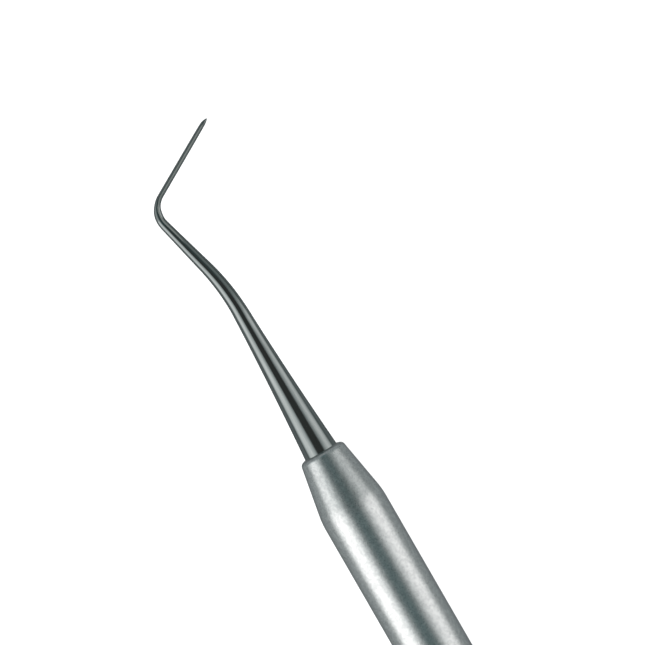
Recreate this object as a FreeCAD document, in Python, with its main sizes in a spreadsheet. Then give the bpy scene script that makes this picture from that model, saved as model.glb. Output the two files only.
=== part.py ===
import FreeCAD, Part
import math
import os

import Sketcher
from FreeCAD import Placement, Rotation, Vector

# Dental explorer with a hollow round handle and a working end at each end: a straight tine behind an
# elbow at the front, a curved hook at the rear.
#
# Frame: millimetres, +X along the handle towards the front working end, +Z up, origin on the handle's
# axis at the middle of its length. The instrument lies as it does on a tray: the handle rests along its
# underside, both working ends lean to the -Y side, and the point of the tine and the side of the hook
# touch the same surface, at Z = -tube_outer_d / 2.
#
# Each working end is drawn in a plane of its own: x runs out of the handle from the nose's rim, and y
# points to the side that the tine or the hook turns to.

DRIVING = [
    # the tube
    ("tube_outer_d", 8.0),
    ("tube_inner_d", 6.6),
    ("tube_length", 87.0),
    ("tube_edge", 0.02),
    # the turned noses: a short parallel land, a cone, and a face that rises from the rim to the mouth
    ("nose_length", 8.0),
    ("cone_length", 6.9),
    ("cone_round", 9.0),
    ("rim_d", 5.52),
    ("rim_lead", 0.08),
    ("rim_round", 0.55),
    ("rim_rise", 0.3),
    ("spigot_length", 8.0),
    ("spigot_lead_in", 0.5),
    ("mouth_d", 4.24),
    ("mouth_depth", 1.5),
    ("socket_d", 3.0),
    ("socket_depth", 13.5),
    # tang and flared shank, alike at both ends
    ("tang_length", 11.8),
    ("tang_edge", 0.3),
    ("flare_root_d", 4.14),
    ("flare_middle_d", 2.85),
    ("flare_end_d", 1.9),
    ("flare_length", 18.5),
    # front end: first bend away from the tine's side, lower shank, elbow, tine
    ("knee_angle", 14.7),
    ("knee_radius", 26.3),
    ("knee_out_d", 1.5),
    ("lower_shank_length", 6.73),
    ("elbow_angle", 74.9),
    ("elbow_radius", 2.8),
    ("elbow_in_d", 1.12),
    ("elbow_waist_d", 0.78),
    ("elbow_waist_share", 0.6),
    ("elbow_out_d", 0.62),
    ("tine_length", 9.08),
    # rear end: straight lower shank and hook
    ("rear_shank_length", 6.0),
    ("hook_in_d", 1.3),
    ("hook_out_d", 0.62),
    ("hook_angle", 200.0),
    ("hook_radius", 3.56),
    ("hook_tine_length", 1.6),
    # the ground point, alike at both ends
    ("point_base_d", 0.6),
    ("point_length", 1.2),
    ("point_tip_d", 0.1),
    ("point_offset", 0.08),
]
# sections along each straight stretch and each bend; the elbow counts those before and after its waist
STRAIGHT_STEPS, KNEE_STEPS, ELBOW_STEPS, WAIST_STEPS, HOOK_STEPS = 2, 4, 5, 4, 20
# how the point narrows: share of its length, share of the way from base to tip diameter, share of the offset
POINT_STATIONS = [(0.4, 0.14, 0.1), (0.7, 0.44, 0.4), (0.9, 0.76, 0.75), (1.0, 1.0, 1.0)]

doc = FreeCAD.newDocument("dental_explorer")
sheet = doc.addObject("Spreadsheet::Sheet", "sizes")
for row, (alias, size) in enumerate(DRIVING, start=1):
    sheet.set(f"A{row}", alias)
    sheet.set(f"B{row}", str(size))
    sheet.setAlias(f"B{row}", alias)
doc.recompute()


def number(expression):
    """The value that an expression on the sheet has now."""
    found = sheet.evalExpression(expression)
    return float(getattr(found, "Value", found))


def new_body(name):
    body = doc.addObject("PartDesign::Body", name)
    body.Label = name
    return body


def new_sketch(body, name, role):
    """A sketch on one of the body's own origin planes."""
    plane = next(f for f in body.Origin.OriginFeatures if f.Role == role)
    sketch = body.newObject("Sketcher::SketchObject", name)
    sketch.AttachmentSupport = [(plane, "")]
    sketch.MapMode = "FlatFace"
    return sketch


def bind_point(sketch, edge, end, x, y):
    """Ties one end of an edge to the expressions x and y, measured from the sketch's origin."""
    for kind, axis, expression in (("DistanceX", -2, x), ("DistanceY", -1, y)):
        size = number(expression)
        if abs(size) < 1e-9:
            sketch.addConstraint(Sketcher.Constraint("PointOnObject", edge, end, axis))
            continue
        at = sketch.addConstraint(Sketcher.Constraint(kind, -1, 1, edge, end, size))
        sketch.setExpression(f"Constraints[{at}]", expression)


def draw_outline(sketch, corners, arcs=()):
    """A closed outline through corners, each a pair of expressions. arcs maps the number of a side to
    the pair of expressions of a point that its arc passes through."""
    arcs = dict(arcs)
    spots = [Vector(number(x), number(y), 0) for x, y in corners]
    count = len(corners)
    for side in range(count):
        start, end = spots[side], spots[(side + 1) % count]
        if side in arcs:
            through = Vector(number(arcs[side][0]), number(arcs[side][1]), 0)
            sketch.addGeometry(Part.Arc(start, through, end), False)
        else:
            sketch.addGeometry(Part.LineSegment(start, end), False)
    # an arc is stored anticlockwise, so its ends may be the other way round
    ends = {}
    for side in range(count):
        first = sketch.getPoint(side, 1)
        ends[side] = (1, 2) if first.distanceToPoint(spots[side]) < 1e-6 else (2, 1)
    for side in range(count):
        after = (side + 1) % count
        sketch.addConstraint(Sketcher.Constraint("Coincident", side, ends[side][1], after, ends[after][0]))
        bind_point(sketch, side, ends[side][0], *corners[side])
    for side, (x, y) in arcs.items():
        mark = sketch.addGeometry(Part.Point(Vector(number(x), number(y), 0)), True)
        bind_point(sketch, mark, 1, x, y)
        sketch.addConstraint(Sketcher.Constraint("PointOnObject", mark, 1, side))


def revolve(body, sketch, name):
    """A full turn of the sketch about its own horizontal axis, which is the body's X."""
    turned = body.newObject("PartDesign::Revolution", name)
    turned.Profile = sketch
    turned.ReferenceAxis = (sketch, ["H_Axis"])
    turned.Angle = 360.0
    sketch.Visibility = False
    return turned


def make_tube():
    body = new_body("handle_tube")
    sketch = new_sketch(body, "tube_section", "XY_Plane")
    inner, outer, end = "sizes.tube_inner_d / 2", "sizes.tube_outer_d / 2", "sizes.tube_length / 2"
    draw_outline(
        sketch,
        [
            (f"-{end}", inner),
            (end, inner),
            (end, f"{outer} - sizes.tube_edge"),
            (f"{end} - sizes.tube_edge", outer),
            (f"sizes.tube_edge - {end}", outer),
            (f"-{end}", f"{outer} - sizes.tube_edge"),
        ],
    )
    revolve(body, sketch, "drawn_tube")
    return body


def round_edge(body, base, name, x, diameter, radius):
    """Rounds the turned edge at x that has this diameter. All three sizes are expressions."""
    edge = next(
        f"Edge{n}"
        for n, e in enumerate(base.Shape.Edges, start=1)
        if isinstance(e.Curve, Part.Circle)
        and abs(e.Curve.Radius - number(diameter) / 2) < 1e-4
        and abs(e.Curve.Center.x - number(x)) < 1e-4
    )
    rounded = body.newObject("PartDesign::Fillet", name)
    rounded.Base = (base, [edge])
    rounded.setExpression("Radius", radius)
    body.Tip = rounded
    doc.recompute()
    return rounded


def make_nose(name, placement):
    """Turned from bar: spigot, shoulder, land, cone, rounded rim, a face that rises to the mouth, and a
    stepped blind hole for the working end's collar and tang."""
    body = new_body(name)
    sketch = new_sketch(body, f"{name}_section", "XY_Plane")
    shoulder = "-sizes.nose_length"
    bore_end = "-sizes.socket_depth"
    spigot_end = "-sizes.nose_length - sizes.spigot_length"
    outer, spigot = "sizes.tube_outer_d / 2", "sizes.tube_inner_d / 2"
    edge, lead_in = "sizes.tube_edge", "sizes.spigot_lead_in"
    draw_outline(
        sketch,
        [
            (spigot_end, "0"),
            (bore_end, "0"),
            (bore_end, "sizes.socket_d / 2"),
            ("-sizes.mouth_depth + sizes.rim_rise", "sizes.socket_d / 2"),
            ("-sizes.mouth_depth + sizes.rim_rise", "sizes.mouth_d / 2"),
            ("sizes.rim_rise", "sizes.mouth_d / 2"),
            ("sizes.rim_lead", "sizes.rim_d / 2"),
            ("-sizes.cone_length", outer),
            (f"{shoulder} + {edge}", outer),
            (shoulder, f"{outer} - {edge}"),
            (shoulder, spigot),
            (f"{spigot_end} + {lead_in}", spigot),
            (spigot_end, f"{spigot} - {lead_in}"),
        ],
    )
    turned = revolve(body, sketch, f"{name}_turned")
    doc.recompute()
    rim = round_edge(body, turned, f"{name}_rim", "sizes.rim_lead", "sizes.rim_d", "sizes.rim_round")
    round_edge(body, rim, f"{name}_cone", "-sizes.cone_length", "sizes.tube_outer_d", "sizes.cone_round")
    body.Placement = placement
    return body


def add_section(body, name, place):
    """A round section of the wire, square to its centreline. place is (x, y, heading, diameter), where
    the heading is in degrees from the body's X towards its Y."""
    x, y, heading, diameter = place
    sketch = new_sketch(body, name, "YZ_Plane")
    # the YZ plane's own x, y and z are the body's Y, Z and X
    turn = f"rotation(vector(0; 1; 0); {heading})"
    sketch.setExpression("AttachmentOffset", f"placement(vector({y}; 0; {x}); {turn})")
    radius = number(diameter) / 2
    sketch.addGeometry(Part.Circle(Vector(0, 0, 0), Vector(0, 0, 1), radius), False)
    sketch.addConstraint(Sketcher.Constraint("Coincident", 0, 3, -1, 1))
    at = sketch.addConstraint(Sketcher.Constraint("Radius", 0, radius))
    sketch.setExpression(f"Constraints[{at}]", f"({diameter}) / 2")
    sketch.Visibility = False
    return sketch


def between(start, end, share):
    return f"{start} + ({end} - {start}) * {share}"


class Wire:
    """The centreline of a working end, followed from the flare to the point. Each method moves on along
    it and gives the places of that stretch's sections, its first and last ones included."""

    def __init__(self):
        self.place = ("sizes.flare_length", "0", "0", "sizes.flare_end_d")

    def moved(self, move, end_d, steps):
        x, y, heading, start_d = self.place
        places = [self.place]
        for step in range(1, steps + 1):
            share = step / steps
            places.append((*move(x, y, heading, share), between(start_d, end_d, share)))
        self.place = (*places[-1][:3], end_d)
        return places

    def straight(self, length, end_d):
        def move(x, y, heading, share):
            gone = f"{length} * {share}"
            return f"{x} + {gone} * cos({heading})", f"{y} + {gone} * sin({heading})", heading

        return self.moved(move, end_d, STRAIGHT_STEPS)

    def bend(self, radius, angle, side, end_d, steps):
        """side is 1 for a bend towards +y and -1 for one away from it."""

        def move(x, y, heading, share):
            new = f"{heading} + {side} * {angle} * {share}"
            across = f"{side} * {radius} * (sin({new}) - sin({heading}))"
            up = f"{side} * {radius} * (cos({heading}) - cos({new}))"
            return f"{x} + {across}", f"{y} + {up}", new

        return self.moved(move, end_d, steps)

    def ground_point(self):
        """The tip is off the wire's middle, towards the inside of the bend before it."""
        x, y, heading, base_d = self.place
        places = [self.place]
        for along, narrowing, shift in POINT_STATIONS:
            gone, off = f"sizes.point_length * {along}", f"sizes.point_offset * {shift}"
            new_x = f"{x} + {gone} * cos({heading}) - {off} * sin({heading})"
            new_y = f"{y} + {gone} * sin({heading}) + {off} * cos({heading})"
            places.append((new_x, new_y, heading, between(base_d, "sizes.point_tip_d", narrowing)))
        self.place = places[-1]
        return places


def front_stretches():
    wire = Wire()
    before_waist = "sizes.elbow_angle * sizes.elbow_waist_share"
    after_waist = "sizes.elbow_angle * (1 - sizes.elbow_waist_share)"
    return {
        "knee": wire.bend("sizes.knee_radius", "sizes.knee_angle", -1, "sizes.knee_out_d", KNEE_STEPS),
        "lower_shank": wire.straight("sizes.lower_shank_length", "sizes.elbow_in_d"),
        "elbow": wire.bend("sizes.elbow_radius", before_waist, 1, "sizes.elbow_waist_d", ELBOW_STEPS),
        "waist": wire.bend("sizes.elbow_radius", after_waist, 1, "sizes.elbow_out_d", WAIST_STEPS),
        "tine": wire.straight("sizes.tine_length", "sizes.point_base_d"),
        "point": wire.ground_point(),
    }


def rear_stretches():
    wire = Wire()
    return {
        "lower_shank": wire.straight("sizes.rear_shank_length", "sizes.hook_in_d"),
        "hook": wire.bend("sizes.hook_radius", "sizes.hook_angle", 1, "sizes.hook_out_d", HOOK_STEPS),
        "tine": wire.straight("sizes.hook_tine_length", "sizes.point_base_d"),
        "point": wire.ground_point(),
    }


def make_working_end(name, stretches, placement):
    """Tang, collar and flared shank turned about the handle's axis, then the bent and tapered wire."""
    body = new_body(name)
    sketch = new_sketch(body, f"{name}_section", "XY_Plane")
    seat = "-sizes.mouth_depth + sizes.rim_rise"
    tang_end = f"{seat} - sizes.tang_length"
    tang, edge = "sizes.socket_d / 2", "sizes.tang_edge"
    draw_outline(
        sketch,
        [
            (tang_end, "0"),
            (tang_end, f"{tang} - {edge}"),
            (f"{tang_end} + {edge}", tang),
            (seat, tang),
            (seat, "sizes.flare_root_d / 2"),
            ("0", "sizes.flare_root_d / 2"),
            ("sizes.flare_length", "sizes.flare_end_d / 2"),
            ("sizes.flare_length", "0"),
        ],
        arcs={5: ("sizes.flare_length / 2", "sizes.flare_middle_d / 2")},
    )
    revolve(body, sketch, f"{name}_turned")
    doc.recompute()
    for stretch, places in stretches.items():
        sections = [
            add_section(body, f"{name}_{stretch}_{n}", place) for n, place in enumerate(places, start=1)
        ]
        wire = body.newObject("PartDesign::AdditiveLoft", f"{name}_{stretch}")
        wire.Profile = sections[0]
        wire.Sections = sections[1:]
        wire.Ruled = False
        wire.Closed = False
        body.Tip = wire
        doc.recompute()
    body.Placement = placement
    return body


# The point of the front tine stands furthest to its side, so the roll about the handle's axis that puts
# it on the surface follows from that reach.
front = front_stretches()
tip_reach = number(front["point"][-1][1])
tip_radius = number("sizes.point_tip_d / 2")
roll = math.degrees(math.asin((number("sizes.tube_outer_d / 2") - tip_radius) / tip_reach))
rim_x = number("sizes.tube_length / 2 + sizes.nose_length")

AXIS = Vector(1, 0, 0)
FRONT = Placement(Vector(rim_x, 0, 0), Rotation(AXIS, 180 + roll))
REAR = Placement(Vector(-rim_x, 0, 0), Rotation(AXIS, roll) * Rotation(Vector(0, 0, 1), 180))

parts = [
    make_tube(),
    make_nose("front_nose", FRONT),
    make_nose("rear_nose", REAR),
    make_working_end("front_working_end", front, FRONT),
    make_working_end("rear_working_end", rear_stretches(), REAR),
]
doc.recompute()

for thing in doc.Objects:
    if {"Invalid", "Error"} & set(thing.State):
        raise SystemExit(f"{thing.Name} is {thing.State}")
for part in parts:
    if part.Shape.isNull() or not part.Shape.isValid() or len(part.Shape.Solids) != 1:
        raise SystemExit(f"{part.Label} isn't one valid solid")

os.makedirs("parts", exist_ok=True)
for part in parts:
    part.Shape.exportStep(f"parts/{part.Label}.step")
    box = part.Shape.optimalBoundingBox()
    print(
        f"{part.Label}: {part.Shape.Volume:.1f} mm3, X {box.XMin:.2f}..{box.XMax:.2f}, "
        f"Y {box.YMin:.2f}..{box.YMax:.2f}, Z {box.ZMin:.3f}..{box.ZMax:.3f}"
    )
print(f"roll about the handle's axis: {roll:.2f} degrees")
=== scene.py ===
import math

import bpy
from mathutils import Matrix, Vector


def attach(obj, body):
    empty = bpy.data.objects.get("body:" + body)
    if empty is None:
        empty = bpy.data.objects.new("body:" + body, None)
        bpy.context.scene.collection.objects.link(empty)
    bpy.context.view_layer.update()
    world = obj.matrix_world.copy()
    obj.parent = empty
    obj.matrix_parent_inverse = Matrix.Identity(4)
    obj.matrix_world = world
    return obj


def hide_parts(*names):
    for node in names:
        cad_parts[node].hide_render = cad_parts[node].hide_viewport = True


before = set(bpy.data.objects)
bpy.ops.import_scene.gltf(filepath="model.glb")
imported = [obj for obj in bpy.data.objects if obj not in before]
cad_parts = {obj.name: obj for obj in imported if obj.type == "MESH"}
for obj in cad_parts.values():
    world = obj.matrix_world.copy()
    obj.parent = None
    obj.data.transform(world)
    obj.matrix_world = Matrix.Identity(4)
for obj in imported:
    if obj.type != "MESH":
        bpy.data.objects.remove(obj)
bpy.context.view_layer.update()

# ------------------------------------------------------------------------------------ handle tube
# The grip is a length of drawn stainless tube, 8 mm across with a 0.7 mm wall. Its ends are faced
# square and barely broken, so that they close against the noses, and the outside is blasted satin.

TUBE_RADIUS = 0.0040
TUBE_BORE_RADIUS = 0.0033
TUBE_HALF_LENGTH = 0.0435
BROKEN_EDGE = 0.00001
HANDLE_FACETS = 128
SHARP_FROM = math.radians(30)


def run(start, end, steps):
    """Points evenly spaced from start to end, without start."""
    return [tuple(a + (b - a) * n / steps for a, b in zip(start, end)) for n in range(1, steps + 1)]


def draw_outline(name, corners):
    """Half of a turned piece's section: corners are pairs of place along the axis and radius."""
    bpy.ops.object.select_all(action="DESELECT")
    bpy.ops.mesh.primitive_plane_add(size=BROKEN_EDGE, location=(*corners[0], 0))
    piece = bpy.context.object
    piece.name = piece.data.name = name
    bpy.ops.object.transform_apply(location=True, rotation=False, scale=False)
    bpy.ops.object.mode_set(mode="EDIT")
    bpy.ops.mesh.select_mode(type="VERT")
    bpy.ops.mesh.merge(type="CENTER")
    for here, there in zip(corners, corners[1:]):
        step = (there[0] - here[0], there[1] - here[1], 0)
        bpy.ops.mesh.extrude_region_move(TRANSFORM_OT_translate={"value": step})
    bpy.ops.object.mode_set(mode="OBJECT")
    return piece


def select_points(piece, wanted):
    """Leaves the piece in edit mode with only the points that pass the test selected."""
    bpy.ops.object.mode_set(mode="OBJECT")
    mesh = piece.data
    for element in (*mesh.polygons, *mesh.edges):
        element.select = False
    for point in mesh.vertices:
        point.select = wanted(point)
    bpy.ops.object.mode_set(mode="EDIT")


def round_corner(piece, corner, reach, segments):
    """Rounds the outline where it turns. The round starts and ends at reach from the corner."""
    spot = Vector((*corner, 0))
    select_points(piece, lambda point: (point.co - spot).length < BROKEN_EDGE / 10)
    bpy.ops.mesh.bevel(offset=reach, segments=segments, affect="VERTICES")
    bpy.ops.object.mode_set(mode="OBJECT")


def turn_on_axis(piece, facets):
    """Turns the outline once round the handle's axis and closes the seam and the poles."""
    bpy.ops.object.mode_set(mode="EDIT")
    bpy.ops.mesh.select_all(action="SELECT")
    bpy.ops.mesh.spin(steps=facets, angle=math.tau, center=(0, 0, 0), axis=(1, 0, 0))
    bpy.ops.mesh.select_all(action="SELECT")
    bpy.ops.mesh.remove_doubles(threshold=BROKEN_EDGE / 100)
    bpy.ops.mesh.normals_make_consistent(inside=False)
    bpy.ops.object.mode_set(mode="OBJECT")


def finish_piece(piece, material, node):
    """Smooth faces, sharp corners, the finish, and the CAD node that the piece stands for."""
    bpy.ops.object.transform_apply(location=True, rotation=True, scale=True)
    bpy.ops.object.shade_smooth_by_angle(angle=SHARP_FROM)
    piece.data.materials.append(material)
    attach(piece, "root")
    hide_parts(node)


def make_grain_group():
    """Uneven metal at two sizes: soft blotches, and fine grain within them."""
    group = bpy.data.node_groups.new("metal_grain", "ShaderNodeTree")
    group.interface.new_socket(name="Place", in_out="INPUT", socket_type="NodeSocketVector")
    for name in ("Blotches", "Grain"):
        group.interface.new_socket(name=name, in_out="INPUT", socket_type="NodeSocketFloat")
    for name in ("Blotch mask", "Grain height"):
        group.interface.new_socket(name=name, in_out="OUTPUT", socket_type="NodeSocketFloat")
    nodes, links = group.nodes, group.links
    given, made = nodes.new("NodeGroupInput"), nodes.new("NodeGroupOutput")
    for scale_name, detail, out_name in (("Blotches", 2, "Blotch mask"), ("Grain", 3, "Grain height")):
        noise = nodes.new("ShaderNodeTexNoise")
        noise.inputs["Detail"].default_value = detail
        noise.inputs["Roughness"].default_value = 0.6
        spread = nodes.new("ShaderNodeMapRange")
        spread.interpolation_type = "SMOOTHSTEP"
        spread.inputs["From Min"].default_value = 0.3
        spread.inputs["From Max"].default_value = 0.7
        links.new(given.outputs["Place"], noise.inputs["Vector"])
        links.new(given.outputs[scale_name], noise.inputs["Scale"])
        links.new(noise.outputs["Fac"], spread.inputs["Value"])
        links.new(spread.outputs["Result"], made.inputs[out_name])
    return group


metal_grain = make_grain_group()


def make_steel(name, place, sizes, colours, roughness, relief, dulled=None):
    """Steel with an uneven surface. place gives the node output that the grain lies on; sizes are
    the scales of blotches and grain; colours and roughness are pairs that they move between. dulled
    gives a node output that is added to the roughness."""
    material = bpy.data.materials.new(name)
    material.use_nodes = True
    nodes, links = material.node_tree.nodes, material.node_tree.links
    shader = nodes["Principled BSDF"]
    shader.inputs["Metallic"].default_value = 1.0
    grain = nodes.new("ShaderNodeGroup")
    grain.node_tree = metal_grain
    grain.inputs["Blotches"].default_value, grain.inputs["Grain"].default_value = sizes
    links.new(place(nodes, links), grain.inputs["Place"])
    tone = nodes.new("ShaderNodeMix")
    tone.data_type = "RGBA"
    tone.inputs["A"].default_value, tone.inputs["B"].default_value = [(*c, 1.0) for c in colours]
    links.new(grain.outputs["Blotch mask"], tone.inputs["Factor"])
    links.new(tone.outputs["Result"], shader.inputs["Base Color"])
    gloss = nodes.new("ShaderNodeMapRange")
    gloss.inputs["To Min"].default_value, gloss.inputs["To Max"].default_value = roughness
    links.new(grain.outputs["Grain height"], gloss.inputs["Value"])
    spread = gloss.outputs["Result"]
    if dulled:
        total = nodes.new("ShaderNodeMath")
        links.new(spread, total.inputs[0])
        links.new(dulled(nodes, links), total.inputs[1])
        spread = total.outputs["Value"]
    links.new(spread, shader.inputs["Roughness"])
    bump = nodes.new("ShaderNodeBump")
    bump.inputs["Strength"].default_value, bump.inputs["Distance"].default_value = relief
    links.new(grain.outputs["Grain height"], bump.inputs["Height"])
    links.new(bump.outputs["Normal"], shader.inputs["Normal"])
    return material


def on_the_piece(nodes, links):
    """Lays a pattern on the piece as it stands."""
    return nodes.new("ShaderNodeTexCoord").outputs["Object"]


satin_steel = make_steel(
    "satin_steel",
    on_the_piece,
    sizes=(2600.0, 12000.0),
    colours=((0.74, 0.745, 0.74), (0.94, 0.94, 0.93)),
    roughness=(0.26, 0.34),
    relief=(0.2, 0.00002),
)

TUBE_RINGS = 18
outside = [(side * TUBE_HALF_LENGTH, TUBE_RADIUS) for side in (-1, 1)]
inside = [(side * TUBE_HALF_LENGTH, TUBE_BORE_RADIUS) for side in (-1, 1)]
tube = draw_outline(
    "handle_grip_tube",
    [
        inside[0],
        outside[0],
        *run(*outside, TUBE_RINGS),
        inside[1],
        *run(*reversed(inside), TUBE_RINGS),
    ],
)
for corner in outside:
    round_corner(tube, corner, BROKEN_EDGE, 1)
turn_on_axis(tube, HANDLE_FACETS)
finish_piece(tube, satin_steel, "handle_tube")

# ------------------------------------------------------------------------------------ the noses
# Each end of the tube is closed by a nose turned from bar and blasted with the handle: a spigot that
# is pressed in the tube, a short land that carries on from the tube's outside with no step, a 10 degree
# cone, a rounded rim, a face that rises a little to the mouth, and a blind socket for the working end.

NOSE_LENGTH = 0.0080
CONE_LENGTH = 0.00690
CONE_ROUND_REACH = 0.0008
RIM_RADIUS = 0.00276
RIM_LEAD = 0.00008
RIM_ROUND_REACH = 0.00033
FACE_RISE = 0.0003
MOUTH_RADIUS = 0.00212
MOUTH_DEPTH = 0.0015
SOCKET_RADIUS = 0.0015
SOCKET_DEPTH = 0.0135
SPIGOT_LENGTH = 0.0080
SPIGOT_LEAD_IN = 0.0005
CORNER_SEGMENTS = 8
RIM_PLANE = TUBE_HALF_LENGTH + NOSE_LENGTH

seat = FACE_RISE - MOUTH_DEPTH
cone_start, rim = (-CONE_LENGTH, TUBE_RADIUS), (RIM_LEAD, RIM_RADIUS)
cone = run(cone_start, rim, 18)


def make_nose(name):
    """One nose, with its rim at the origin and its spigot to the rear."""
    spigot_end = -NOSE_LENGTH - SPIGOT_LENGTH
    nose = draw_outline(
        name,
        [
            (spigot_end, 0),
            (spigot_end, TUBE_BORE_RADIUS - SPIGOT_LEAD_IN),
            (spigot_end + SPIGOT_LEAD_IN, TUBE_BORE_RADIUS),
            (-NOSE_LENGTH, TUBE_BORE_RADIUS),
            (-NOSE_LENGTH, TUBE_RADIUS - BROKEN_EDGE),
            (-NOSE_LENGTH + BROKEN_EDGE, TUBE_RADIUS),
            cone_start,
            *cone[2:15:3],
            # a ring close behind the rim keeps the cone's shading straight up to the round
            cone[-2],
            rim,
            (FACE_RISE, MOUTH_RADIUS),
            (seat, MOUTH_RADIUS),
            (seat, SOCKET_RADIUS),
            (-SOCKET_DEPTH, SOCKET_RADIUS),
            (-SOCKET_DEPTH, 0),
        ],
    )
    round_corner(nose, cone_start, CONE_ROUND_REACH, CORNER_SEGMENTS)
    round_corner(nose, rim, RIM_ROUND_REACH, CORNER_SEGMENTS)
    turn_on_axis(nose, HANDLE_FACETS)
    return nose


for name, node, side in (("nose_front", "front_nose", 1), ("nose_rear", "rear_nose", -1)):
    nose = make_nose(name)
    nose.location.x = side * RIM_PLANE
    nose.rotation_euler.z = 0 if side > 0 else math.pi
    finish_piece(nose, satin_steel, node)

# ------------------------------------------------------------------------------------ working ends
# Each working end is ground from one piece of hard stainless wire while it is straight: a tang and a
# collar that are pressed in the nose, a shank that flares towards them, and a long taper to the
# point. Then it is bent. The ground surface is bright, with faint lines along the wire.

END_FACETS = 64
FLARE_RINGS = 20
TAPER_SMOOTHINGS = 6
COLLAR_RADIUS = 0.00207
TANG_LENGTH = 0.0118
TANG_EDGE = 0.0003
FLARE_LENGTH = 0.0185
FLARE_MIDDLE_RADIUS = 0.001425
FLARE_END_RADIUS = 0.00095
POINT_BASE_RADIUS = 0.00030
POINT_TIP_RADIUS = 0.00005
POINT_LENGTH = 0.0012
POINT_OFFSET = 0.00008
# how the point narrows: share of its length, share of the way to the tip's radius, share of the offset
POINT_STATIONS = ((0.4, 0.14, 0.1), (0.7, 0.44, 0.4), (0.9, 0.76, 0.75), (1.0, 1.0, 1.0))


def flare_radius(share):
    """The flare is a shallow hollow curve through its radii at the collar, middle and end."""
    pull = 2 * FLARE_MIDDLE_RADIUS - (COLLAR_RADIUS + FLARE_END_RADIUS) / 2
    rest = 1 - share
    return rest**2 * COLLAR_RADIUS + 2 * share * rest * pull + share**2 * FLARE_END_RADIUS


def grind_blank(name, stretches):
    """The straight wire. stretches are (length, radius at its end, rings), from the flare on."""
    tang_end = seat - TANG_LENGTH
    outline = [
        (tang_end, 0),
        (tang_end, SOCKET_RADIUS - TANG_EDGE),
        (tang_end + TANG_EDGE, SOCKET_RADIUS),
        (seat, SOCKET_RADIUS),
        (seat, COLLAR_RADIUS),
        (0, COLLAR_RADIUS),
    ]
    for share in (n / FLARE_RINGS for n in range(1, FLARE_RINGS + 1)):
        outline.append((FLARE_LENGTH * share, flare_radius(share)))
    for length, end_radius, rings in stretches:
        here = outline[-1]
        outline += run(here, (here[0] + length, end_radius), rings)
    start = outline[-1][0]
    for along, narrowing, _ in POINT_STATIONS:
        radius = POINT_BASE_RADIUS + (POINT_TIP_RADIUS - POINT_BASE_RADIUS) * narrowing
        outline.append((start + POINT_LENGTH * along, radius))
    outline.append((start + POINT_LENGTH, 0))
    blank = draw_outline(name, outline)
    # the taper runs on without a kink from one stretch to the next
    select_points(blank, lambda point: FLARE_LENGTH / 2 < point.co.x < start)
    bpy.ops.mesh.vertices_smooth(
        factor=0.5, repeat=TAPER_SMOOTHINGS, xaxis=False, yaxis=True, zaxis=False
    )
    bpy.ops.object.mode_set(mode="OBJECT")
    turn_on_axis(blank, END_FACETS)
    places = [value for point in blank.data.vertices for value in point.co]
    blank.data.attributes.new("blank", "FLOAT_VECTOR", "POINT").data.foreach_set("vector", places)
    return blank


def blank_places(piece):
    """How far along the straight wire each point was before any bend."""
    return [entry.vector.x for entry in piece.data.attributes["blank"].data]


def dress_point(piece, start):
    """The point is ground a little off the wire's middle, towards the inside of the bend."""
    along = blank_places(piece)
    shifted = 0
    for station, _, share in POINT_STATIONS:
        reached = start + POINT_LENGTH * station - BROKEN_EDGE
        select_points(piece, lambda point: along[point.index] > reached)
        bpy.ops.transform.translate(value=(0, POINT_OFFSET * (share - shifted), 0))
        shifted = share
    bpy.ops.object.mode_set(mode="OBJECT")


def bend(piece, heading, start, length, angle):
    """Bends the wire by angle over length, from the place start on the blank, ring by ring. All that
    is beyond a ring swings with it. heading is the wire's direction at start, and the direction at
    the bend's end is returned."""
    along = blank_places(piece)
    first, last = start - BROKEN_EDGE, start + length + BROKEN_EDGE
    rings = sorted({round(place, 7) for place in along if first < place < last})
    radius = length / abs(angle)
    side = math.copysign(1, angle)
    points = piece.data.vertices
    base = [point.co for point in points if abs(along[point.index] - rings[0]) < BROKEN_EDGE / 10]
    middle = sum(base, Vector()) / len(base)
    centre = middle + side * radius * Vector((-math.sin(heading), math.cos(heading), 0))
    for ring, after in zip(rings, rings[1:]):
        step = after - ring
        select_points(piece, lambda point: along[point.index] > after - BROKEN_EDGE / 10)
        back = (-step * math.cos(heading), -step * math.sin(heading), 0)
        bpy.ops.transform.translate(value=back)
        # the rotate operator turns clockwise for a positive value here
        bpy.ops.transform.rotate(value=-side * step / radius, orient_axis="Z", center_override=centre)
        heading += side * step / radius
    bpy.ops.object.mode_set(mode="OBJECT")
    return heading


def lengthwise(nodes, links):
    """Stretches a pattern along the wire, wherever the wire has been bent to."""
    blank = nodes.new("ShaderNodeAttribute")
    blank.attribute_name = "blank"
    stretch = nodes.new("ShaderNodeMapping")
    stretch.inputs["Scale"].default_value = (0.05, 1.0, 1.0)
    links.new(blank.outputs["Vector"], stretch.inputs["Vector"])
    return stretch.outputs["Vector"]


# places on the blank where the polish starts to fade and has gone, and how much rougher it is there
DULL_FROM, DULL_TO, DULLING = 0.0335, 0.0360, 0.10


def towards_the_point(nodes, links):
    """The shank is polished. The tine is left as the stone dressed it, so it is a little duller."""
    blank = nodes.new("ShaderNodeAttribute")
    blank.attribute_name = "blank"
    place = nodes.new("ShaderNodeSeparateXYZ")
    rise = nodes.new("ShaderNodeMapRange")
    rise.inputs["From Min"].default_value = DULL_FROM
    rise.inputs["From Max"].default_value = DULL_TO
    rise.inputs["To Max"].default_value = DULLING
    links.new(blank.outputs["Vector"], place.inputs["Vector"])
    links.new(place.outputs["X"], rise.inputs["Value"])
    return rise.outputs["Result"]


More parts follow.
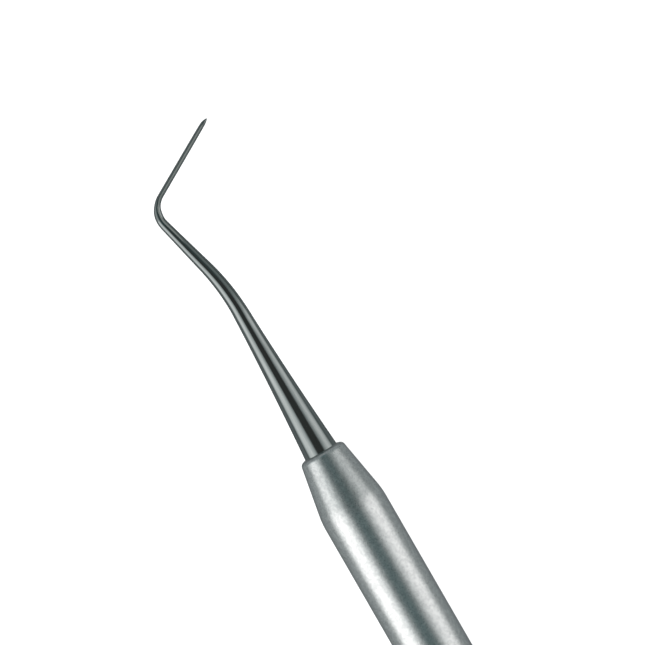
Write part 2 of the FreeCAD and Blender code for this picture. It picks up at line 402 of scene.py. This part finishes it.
polished_steel = make_steel(
    "polished_steel",
    lengthwise,
    sizes=(2600.0, 14000.0),
    colours=((0.295, 0.32, 0.315), (0.345, 0.37, 0.365)),
    roughness=(0.08, 0.15),
    relief=(0.05, 0.000004),
    dulled=towards_the_point,
)

# Front: a first bend away from the tine's side, the lower shank, the elbow, and the straight tine.
KNEE_ANGLE, KNEE_RADIUS = math.radians(14.7), 0.0263
KNEE_LENGTH = KNEE_ANGLE * KNEE_RADIUS
LOWER_SHANK_LENGTH = 0.00673
ELBOW_ANGLE, ELBOW_RADIUS = math.radians(74.9), 0.0028
ELBOW_LENGTH = ELBOW_ANGLE * ELBOW_RADIUS
TINE_LENGTH = 0.00908

front_end = grind_blank(
    "working_end_front",
    [
        (KNEE_LENGTH, 0.00075, 14),
        (LOWER_SHANK_LENGTH, 0.00056, 10),
        (ELBOW_LENGTH * 0.40, 0.00049, 12),
        (ELBOW_LENGTH * 0.25, 0.00037, 8),
        (ELBOW_LENGTH * 0.35, 0.00031, 10),
        (TINE_LENGTH, POINT_BASE_RADIUS, 8),
    ],
)
elbow_start = FLARE_LENGTH + KNEE_LENGTH + LOWER_SHANK_LENGTH
dress_point(front_end, elbow_start + ELBOW_LENGTH + TINE_LENGTH)
lower_shank_heading = bend(front_end, 0, FLARE_LENGTH, KNEE_LENGTH, -KNEE_ANGLE)
tine_heading = bend(front_end, lower_shank_heading, elbow_start, ELBOW_LENGTH, ELBOW_ANGLE)

# The instrument lies on the underside of its handle and on the point of the tine.
tine_reach = max(point.co.y for point in front_end.data.vertices)
roll = math.asin((TUBE_RADIUS - POINT_TIP_RADIUS) / tine_reach)
front_end.location.x = RIM_PLANE
front_end.rotation_euler.x = math.pi + roll
finish_piece(front_end, polished_steel, "front_working_end")

# Rear: a straight lower shank and a curved hook that turns back on itself.
REAR_SHANK_LENGTH = 0.0060
HOOK_ANGLE, HOOK_RADIUS = math.radians(200), 0.00356
HOOK_LENGTH = HOOK_ANGLE * HOOK_RADIUS
HOOK_TINE_LENGTH = 0.0016

rear_end = grind_blank(
    "working_end_rear",
    [
        (REAR_SHANK_LENGTH, 0.00065, 8),
        (HOOK_LENGTH, 0.00031, 60),
        (HOOK_TINE_LENGTH, POINT_BASE_RADIUS, 3),
    ],
)
hook_start = FLARE_LENGTH + REAR_SHANK_LENGTH
dress_point(rear_end, hook_start + HOOK_LENGTH + HOOK_TINE_LENGTH)
bend(rear_end, 0, hook_start, HOOK_LENGTH, HOOK_ANGLE)
rear_end.location.x = -RIM_PLANE
rear_end.rotation_euler = (-roll, 0, math.pi)
finish_piece(rear_end, polished_steel, "rear_working_end")

# ------------------------------------------------------------------------------------ studio
# A plain white table, two long softboxes beside the line of sight and dark cards round the lens and
# below, which draw the light bands and the dark middle that run along the handle. The camera looks
# square on to the plane that the front tine is bent in, and sees none of the panels.

along = Vector((1, 0, 0))
tineward = Vector((0, -math.cos(roll), -math.sin(roll)))
to_camera = Vector((0, -math.sin(roll), math.cos(roll)))

CAMERA_DISTANCE = 0.27685
CAMERA_LEAN = math.radians(29.95)
VIEW_ALONG, VIEW_TINEWARD = RIM_PLANE + 0.01301, 0.007545

bpy.ops.object.select_all(action="DESELECT")
bpy.ops.object.camera_add()
camera = bpy.context.object
right = tineward * math.cos(CAMERA_LEAN) - along * math.sin(CAMERA_LEAN)
up = along * math.cos(CAMERA_LEAN) + tineward * math.sin(CAMERA_LEAN)
turned = Matrix((right, up, to_camera)).transposed().to_4x4()
lens_place = along * VIEW_ALONG + tineward * VIEW_TINEWARD + to_camera * CAMERA_DISTANCE
camera.matrix_world = Matrix.Translation(lens_place) @ turned
camera.data.lens = 135
camera.data.clip_start = 0.01
bpy.context.scene.camera = camera

LIGHT_DISTANCE, CARD_DISTANCE, HOOD_DISTANCE = 0.70, 0.45, 0.449
# brightness across a softbox, from the side that is nearer to the line of sight
SOFTBOX_PROFILE = [
    (0, 0),
    (0.13, 0.35),
    (0.25, 0.75),
    (0.35, 0.95),
    (0.45, 1.0),
    (0.56, 0.95),
    (0.68, 0.76),
    (0.82, 0.5),
    (1, 0),
]
COOL_SHADOWS = 1.1


def aim(thing, angle, distance):
    """Puts a light or card at an angle from the line of sight, towards the tine's side, facing the
    handle, with its long side along the handle."""
    outward = to_camera * math.cos(angle) + tineward * math.sin(angle)
    facing = Matrix((along, outward.cross(along), outward)).transposed().to_4x4()
    thing.matrix_world = Matrix.Translation(outward * distance) @ facing


def lit_panel(name, first, last, rear, front, distance):
    """A flat panel that fills the view from the handle between two angles in degrees from the line of
    sight, and reaches along the handle from rear to front."""
    bpy.ops.mesh.primitive_plane_add(size=1)
    panel = bpy.context.object
    panel.name = name
    width = 2 * distance * math.tan(math.radians(abs(last - first)) / 2)
    aim(panel, math.radians(first + last) / 2, distance)
    panel.matrix_world.translation.x = (rear + front) / 2
    panel.scale = (front - rear, width, 1)
    panel.visible_camera = False
    material = bpy.data.materials.new(name)
    material.use_nodes = True
    panel.data.materials.append(material)
    return material.node_tree


def falloff(tree, place, axis, stops):
    """Brightness along one side of a panel: stops are pairs of place, 0 to 1, and brightness."""
    ramp = tree.nodes.new("ShaderNodeValToRGB")
    tree.links.new(place.outputs[axis], ramp.inputs["Fac"])
    while len(ramp.color_ramp.elements) < len(stops):
        ramp.color_ramp.elements.new(0.5)
    for element, (spot, level) in zip(ramp.color_ramp.elements, stops):
        element.position = spot
        element.color = (level**COOL_SHADOWS, level, level, 1)
    return ramp.outputs["Color"]


def softbox(name, first, last, rear, front, brightness, lengthways):
    """A softbox is brightest a little off its middle and fades towards its edges. lengthways holds its
    brightness from its rear end to its front end."""
    tree = lit_panel(name, first, last, rear, front, LIGHT_DISTANCE)
    place = tree.nodes.new("ShaderNodeSeparateXYZ")
    tree.links.new(tree.nodes.new("ShaderNodeTexCoord").outputs["Generated"], place.inputs["Vector"])
    stops = SOFTBOX_PROFILE
    if first > last:
        stops = [(1 - spot, level) for spot, level in reversed(stops)]
    lit = tree.nodes.new("ShaderNodeMix")
    lit.data_type, lit.blend_type = "RGBA", "MULTIPLY"
    lit.inputs["Factor"].default_value = 1.0
    tree.links.new(falloff(tree, place, "Y", stops), lit.inputs["A"])
    tree.links.new(falloff(tree, place, "X", lengthways), lit.inputs["B"])
    glow = tree.nodes.new("ShaderNodeEmission")
    glow.inputs["Strength"].default_value = brightness
    tree.links.new(lit.outputs["Result"], glow.inputs["Color"])
    tree.links.new(glow.outputs["Emission"], tree.nodes["Material Output"].inputs["Surface"])


# both drop to about half their brightness where the handle's cone begins to mirror them
high_lengthways = [(0, 0), (0.1, 1), (0.685, 1), (0.71, 0.52), (1, 0.45)]
softbox("softbox_high", -19, -99, -1.0, 0.7, 1.48, high_lengthways)
low_lengthways = [(0, 0.3), (0.25, 0.45), (0.45, 1), (0.61, 1), (0.64, 0.4), (0.69, 0.3), (0.78, 0.3)]
softbox("softbox_low", 22, 102, -0.6, 0.6, 1.15, low_lengthways)


def paint(tree, glow, colour=0.0):
    """A matt surface of one grey, which gives off an even light of its own."""
    shader = tree.nodes["Principled BSDF"]
    shader.inputs["Base Color"].default_value = (colour, colour, colour, 1)
    shader.inputs["Specular IOR Level"].default_value = 0.0
    shader.inputs["Emission Color"].default_value = (*glow, 1)
    shader.inputs["Emission Strength"].default_value = 1.0


paint(lit_panel("lens_card", -19, 23, -1.0, 1.0, CARD_DISTANCE), (0.07, 0.115, 0.12))
paint(lit_panel("lens_hood", -19, 23, 0.07, 0.15, HOOD_DISTANCE), (0.066, 0.069, 0.066))
paint(lit_panel("under_card", 138, 222, -1.0, 1.0, CARD_DISTANCE), (0.14, 0.155, 0.16))

# A slip of grey card is held just over the tine, a little to the inside of the elbow. It draws the
# light line along the tine.
TINE_MIDDLE_ALONG, TINE_MIDDLE_TINEWARD = 0.0889, 0.0033
TINE_CARD_INWARD, TINE_CARD_HEIGHT = 0.0020, 0.005
TINE_CARD_LENGTH, TINE_CARD_WIDTH = 0.0105, 0.0066

tine_along = along * math.cos(tine_heading) + tineward * math.sin(tine_heading)
inward = tineward * math.cos(tine_heading) - along * math.sin(tine_heading)
tine_middle = along * TINE_MIDDLE_ALONG + tineward * TINE_MIDDLE_TINEWARD
card_place = tine_middle + inward * TINE_CARD_INWARD + to_camera * TINE_CARD_HEIGHT
facing = Matrix((tine_along, to_camera.cross(tine_along), to_camera)).transposed().to_4x4()
bpy.ops.mesh.primitive_plane_add(size=1)
tine_card = bpy.context.object
tine_card.name = "tine_card"
tine_card.matrix_world = Matrix.Translation(card_place) @ facing
tine_card.scale = (TINE_CARD_LENGTH, TINE_CARD_WIDTH, 1)
tine_card.visible_camera = False
tine_card.visible_shadow = False
tine_card.data.materials.append(bpy.data.materials.new("tine_card"))
tine_card.active_material.use_nodes = True
paint(tine_card.active_material.node_tree, (0.54, 0.56, 0.54))

bpy.ops.mesh.primitive_plane_add(size=4, location=(0, 0, -TUBE_RADIUS))
floor = bpy.context.object
floor.name = "white_table"
# the steel mirrors the dim room and the softboxes, not the table
floor.visible_glossy = False
floor.visible_shadow = False
table_top = bpy.data.materials.new("table_top")
table_top.use_nodes = True
paint(table_top.node_tree, (1, 1, 1), colour=0.5)
table_top.node_tree.nodes["Principled BSDF"].inputs["Roughness"].default_value = 1.0
floor.data.materials.append(table_top)

world = bpy.data.worlds.new("studio")
bpy.context.scene.world = world
world.use_nodes = True
room_nodes, room_links = world.node_tree.nodes, world.node_tree.links
ray = room_nodes.new("ShaderNodeLightPath")
walls = room_nodes.new("ShaderNodeMix")
walls.data_type = "RGBA"
walls.inputs["A"].default_value = (0.23, 0.26, 0.265, 1)
walls.inputs["B"].default_value = (1, 1, 1, 1)
room_links.new(ray.outputs["Is Camera Ray"], walls.inputs["Factor"])
room_links.new(walls.outputs["Result"], room_nodes["Background"].inputs["Color"])
bpy.context.scene.view_settings.view_transform = "Standard"
